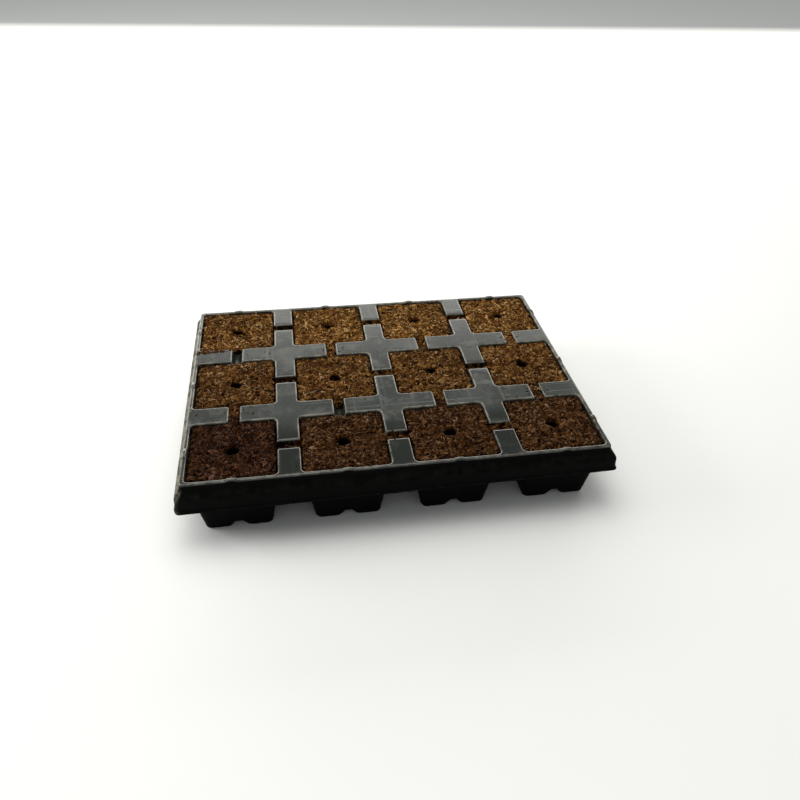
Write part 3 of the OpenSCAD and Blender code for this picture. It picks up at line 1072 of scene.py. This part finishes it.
def plastic_material(name, low, high, specular, gloss_low, worn_and_lit, dusty):
    """Dark formed sheet: fine scratches, dust film, rubbed edges, water marks."""
    mat = Material(name)
    coords = mat.coords()
    wear = mat.attribute("wear")
    cloud = mat.noise(coords, 45.0, 3.0)
    fine = mat.noise(coords, 900.0, 3.0, 0.6)
    tone = mat.mix("MIX", cloud, low, high)
    dust_patch = mat.noise(coords, 120.0, 6.0, 0.65)
    dust = mat.ramp(dust_patch, (0.5, 0.0), (0.8, 0.2 * dusty))
    tone = mat.mix("MIX", dust, tone, (0.17, 0.155, 0.12))
    # scratches in two directions
    long_a = mat.noise(coords, 260.0, 2.0, 0.5, ((1.0, 0.035, 1.0), (0, 0, 0.5)))
    long_b = mat.noise(coords, 300.0, 2.0, 0.5, ((0.03, 1.0, 1.0), (0, 0, 0.25)))
    scratch_a = mat.ramp(long_a, (0.62, 0.0), (0.69, 1.0))
    scratch_b = mat.ramp(long_b, (0.63, 0.0), (0.7, 1.0))
    scratch = mat.maths("MAXIMUM", scratch_a, scratch_b)
    faint = mat.maths("MULTIPLY", scratch, 0.2 * dusty)
    tone = mat.mix("MIX", faint, tone, (0.20, 0.21, 0.19))
    # rubbed edges and painted highlights: lighter on the edge roundings, the rim, the humps and the
    # left of the skirt
    patch = mat.noise(coords, 230.0, 5.0, 0.65)
    patch = mat.ramp(patch, (0.38, 0.06), (0.62, 0.9))
    rub_and_highlight = mat.maths("MULTIPLY", wear, patch)
    rub_and_highlight = mat.maths("MULTIPLY", rub_and_highlight, worn_and_lit)
    tone = mat.mix("MIX", rub_and_highlight, tone, (0.42, 0.385, 0.30))
    # painted shade: the front of the deck is darker, and also smoother
    damp = mat.attribute("damp")
    shaded_tone = mat.mix("MULTIPLY", 1.0, tone, (0.6, 0.6, 0.6))
    tone = mat.mix("MIX", damp, tone, shaded_tone)
    mat.link(tone, mat.shader.inputs["Base Color"])
    gloss = mat.maths("MULTIPLY", cloud, 0.2)
    gloss = mat.maths("ADD", gloss, gloss_low)
    smoother = mat.maths("MULTIPLY", damp, 0.16)
    gloss = mat.maths("SUBTRACT", gloss, smoother)
    gloss = mat.maths("MAXIMUM", gloss, 0.06)
    film = mat.maths("MULTIPLY", dust, 0.9)
    gloss = mat.maths("ADD", gloss, film, True)
    mat.link(gloss, mat.shader.inputs["Roughness"])
    mat.shader.inputs["Specular IOR Level"].default_value = specular
    height = mat.maths("MULTIPLY", fine, 0.25)
    height = mat.maths("SUBTRACT", height, faint)
    mat.bump(height, 0.25, 0.0003)
    return mat.data


def coir_material():
    """Damp pressed coir: each crumb its own brown, painted shade in the gaps and on the front rows,
    pale broken fibres.
    """
    mat = Material("coir")
    coords = mat.coords()
    tone = mat.attribute("tone")
    unshaded_amount = mat.attribute("open")
    grain = mat.noise(coords, 1500.0, 4.0, 0.65)
    strand = mat.noise(coords, 700.0, 3.0, 0.6, ((1.0, 0.25, 1.0), (0, 0, 0.8)))
    shift = mat.maths("SUBTRACT", grain, 0.5)
    shift = mat.maths("MULTIPLY", shift, 0.55)
    value = mat.maths("ADD", tone, shift, True)
    colour = mat.ramp(
        value,
        (0.0, (0.009, 0.0030, 0.0006)),
        (0.22, (0.040, 0.0145, 0.0022)),
        (0.45, (0.120, 0.048, 0.0075)),
        (0.66, (0.280, 0.127, 0.023)),
        (0.84, (0.47, 0.255, 0.078)),
        (1.0, (0.66, 0.47, 0.25)),
    )
    red = mat.ramp(strand, (0.45, 0.0), (0.7, 0.5))
    colour = mat.mix("MIX", red, colour, (0.10, 0.030, 0.008))
    patch = mat.noise(coords, 38.0, 3.0)
    patch = mat.ramp(patch, (0.35, 0.72), (0.65, 1.0))
    colour = mat.mix("MULTIPLY", 1.0, colour, patch)
    # painted shade: darkens the plugs toward the front rows and the left column, and the loose
    # crumbs a little
    damp = mat.attribute("damp")
    shaded_tone = mat.mix("MULTIPLY", 1.0, colour, (0.22, 0.17, 0.25))
    colour = mat.mix("MIX", damp, colour, shaded_tone)
    # painted shade: darker where the unshaded value is low, in gaps, down the hole and under the
    # plug
    gap_shade = mat.ramp(unshaded_amount, (0.0, 0.04), (0.5, 0.5), (1.0, 1.0))
    colour = mat.mix("MULTIPLY", 1.0, colour, gap_shade)
    mat.link(colour, mat.shader.inputs["Base Color"])
    rough = mat.maths("MULTIPLY", grain, 0.3)
    rough = mat.maths("ADD", rough, 0.62)
    mat.link(rough, mat.shader.inputs["Roughness"])
    mat.shader.inputs["Specular IOR Level"].default_value = 0.04
    mat.bump(mat.maths("ADD", grain, strand), 0.6, 0.0004)
    return mat.data


def floor_material():
    """A pale, faintly clouded studio floor."""
    mat = Material("studio_floor")
    coords = mat.coords()
    cloud = mat.noise(coords, 9.0, 3.0)
    colour = mat.mix("MIX", cloud, (0.86, 0.86, 0.85), (0.89, 0.89, 0.88))
    mat.link(colour, mat.shader.inputs["Base Color"])
    mat.shader.inputs["Roughness"].default_value = 0.7
    return mat.data


# One plastic in two copies: the deck's, and a darker, barely shiny copy that paints shade onto the
# skirt and the cells.
PLASTIC = plastic_material(
    "deck_sheet", (0.008, 0.0105, 0.008), (0.014, 0.0175, 0.0135), 0.5, 0.17, 0.55, 1.0
)
SHADED_PLASTIC = plastic_material(
    "shaded_cell_sheet", (0.0008, 0.0009, 0.0008), (0.0016, 0.0018, 0.0016), 0.03, 0.4, 0.6, 0.03
)
COIR = coir_material()

# ---------------------------------------------------------------- pieces



def place(name, arrays, material, body, replaced=(), middle=(0, 0), sharp=None):
    """Makes a piece from arrays, moves it to its middle, gives it its material, puts it under its
    body and hides the nodes it replaces.
    """
    co, quads, *tris, values = arrays
    co[:, :2] += middle
    piece = make_object(name, co, quads, *tris, values=values, sharp=sharp)
    piece.data.materials.append(material)
    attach(piece, body)
    if replaced:
        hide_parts(*replaced)


deck, skirt = build_tray_top()
webs = ["long_web_1", "long_web_2", "short_webs_1", "short_webs_2", "short_webs_3"]
place("tray_deck", deck, PLASTIC, "tray", ["rim", *webs], sharp=SHARP)
place("tray_skirt", skirt, SHADED_PLASTIC, "tray", ["shoulder", "skirt"], sharp=SHARP)

for r, c in CELLS:
    name = cell_name(r, c)
    place("tray_cell_" + name, build_cell(r, c), SHADED_PLASTIC, "tray",
          ["cell_" + name], CENTRE[r, c], SHARP)

for r, c in CELLS:
    plug_name = "plug_" + cell_name(r, c)
    plug = build_plug(r, c, plug_fills(r, c))
    # painted shade, darkest on the front row and the left column
    plug[3]["damp"] = np.full(len(plug[0]), ROW_SHADE[r] + SHADE_STEP[c])
    place("coir_" + plug_name, plug, COIR, plug_name, [plug_name], CENTRE[r, c])

spill = build_spill()
# a little painted shade on the loose crumbs
spill[3]["damp"] = np.full(len(spill[0]), 0.2)
place("spilled_crumbs", spill, COIR, "tray")

# ---------------------------------------------------------------- stage

FLOOR_HALF = 3000.0
floor = make_object(
    "studio_floor_plane",
    np.array([[-1, -1, 0], [1, -1, 0], [1, 1, 0], [-1, 1, 0]]) * FLOOR_HALF,
    [(0, 1, 2, 3)],
)
floor.data.materials.append(floor_material())
floor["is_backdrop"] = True


def area_light(name, where, aim, size, power, colour):
    """A rectangular lamp that points at aim."""
    data = bpy.data.lights.new(name, "AREA")
    data.shape = "RECTANGLE"
    data.size, data.size_y = size
    data.energy = power
    data.color = colour
    light = bpy.data.objects.new(name, data)
    bpy.context.scene.collection.objects.link(light)
    light.location = where
    light.rotation_mode = "QUATERNION"
    light.rotation_quaternion = (Vector(aim) - Vector(where)).to_track_quat("-Z", "Y")


area_light("back_softbox", (0.05, 1.0, 0.30), (0, 0, 0.03), (1.9, 0.42), 10.0, (1.0, 0.985, 0.93))
area_light("left_softbox", (-0.9, 0.25, 0.3), (0, 0, 0.03), (0.6, 0.5), 6.0, (1.0, 1.0, 0.98))
area_light("top_softbox", (-0.1, 0.12, 0.95), (0, 0, 0), (0.9, 0.9), 6.4, (1.0, 0.985, 0.95))

world = bpy.data.worlds.new("studio")
world.use_nodes = True
background = world.node_tree.nodes["Background"]
background.inputs["Color"].default_value = (0.965, 1.0, 0.985, 1.0)
background.inputs["Strength"].default_value = 0.36
bpy.context.scene.world = world
bpy.context.scene.view_settings.view_transform = "Standard"

# The camera, in metres. Its roll and its small sideways shift come from the solved view.
CAMERA_AT = Vector((-0.0370, -0.2838, 0.1936 + DECK_Z * MM))
YAW, PITCH, ROLL = math.radians(10.6), math.radians(36.22), math.radians(1.78)
level = math.cos(PITCH)
forward = Vector((math.sin(YAW) * level, math.cos(YAW) * level, -math.sin(PITCH)))
level_right = Vector((math.cos(YAW), -math.sin(YAW), 0))
level_up = level_right.cross(forward)
right = math.cos(ROLL) * level_right + math.sin(ROLL) * level_up
up = -math.sin(ROLL) * level_right + math.cos(ROLL) * level_up
camera_data = bpy.data.cameras.new("camera")
camera_data.sensor_width = 36.0
camera_data.lens = 33.17
camera_data.shift_x = -0.02
camera_data.clip_start, camera_data.clip_end = 0.01, 20.0
camera = bpy.data.objects.new("camera", camera_data)
bpy.context.scene.collection.objects.link(camera)
turned = Matrix((right, up, -forward)).transposed().to_4x4()
camera.matrix_world = Matrix.Translation(CAMERA_AT) @ turned
bpy.context.scene.camera = camera

low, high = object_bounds()
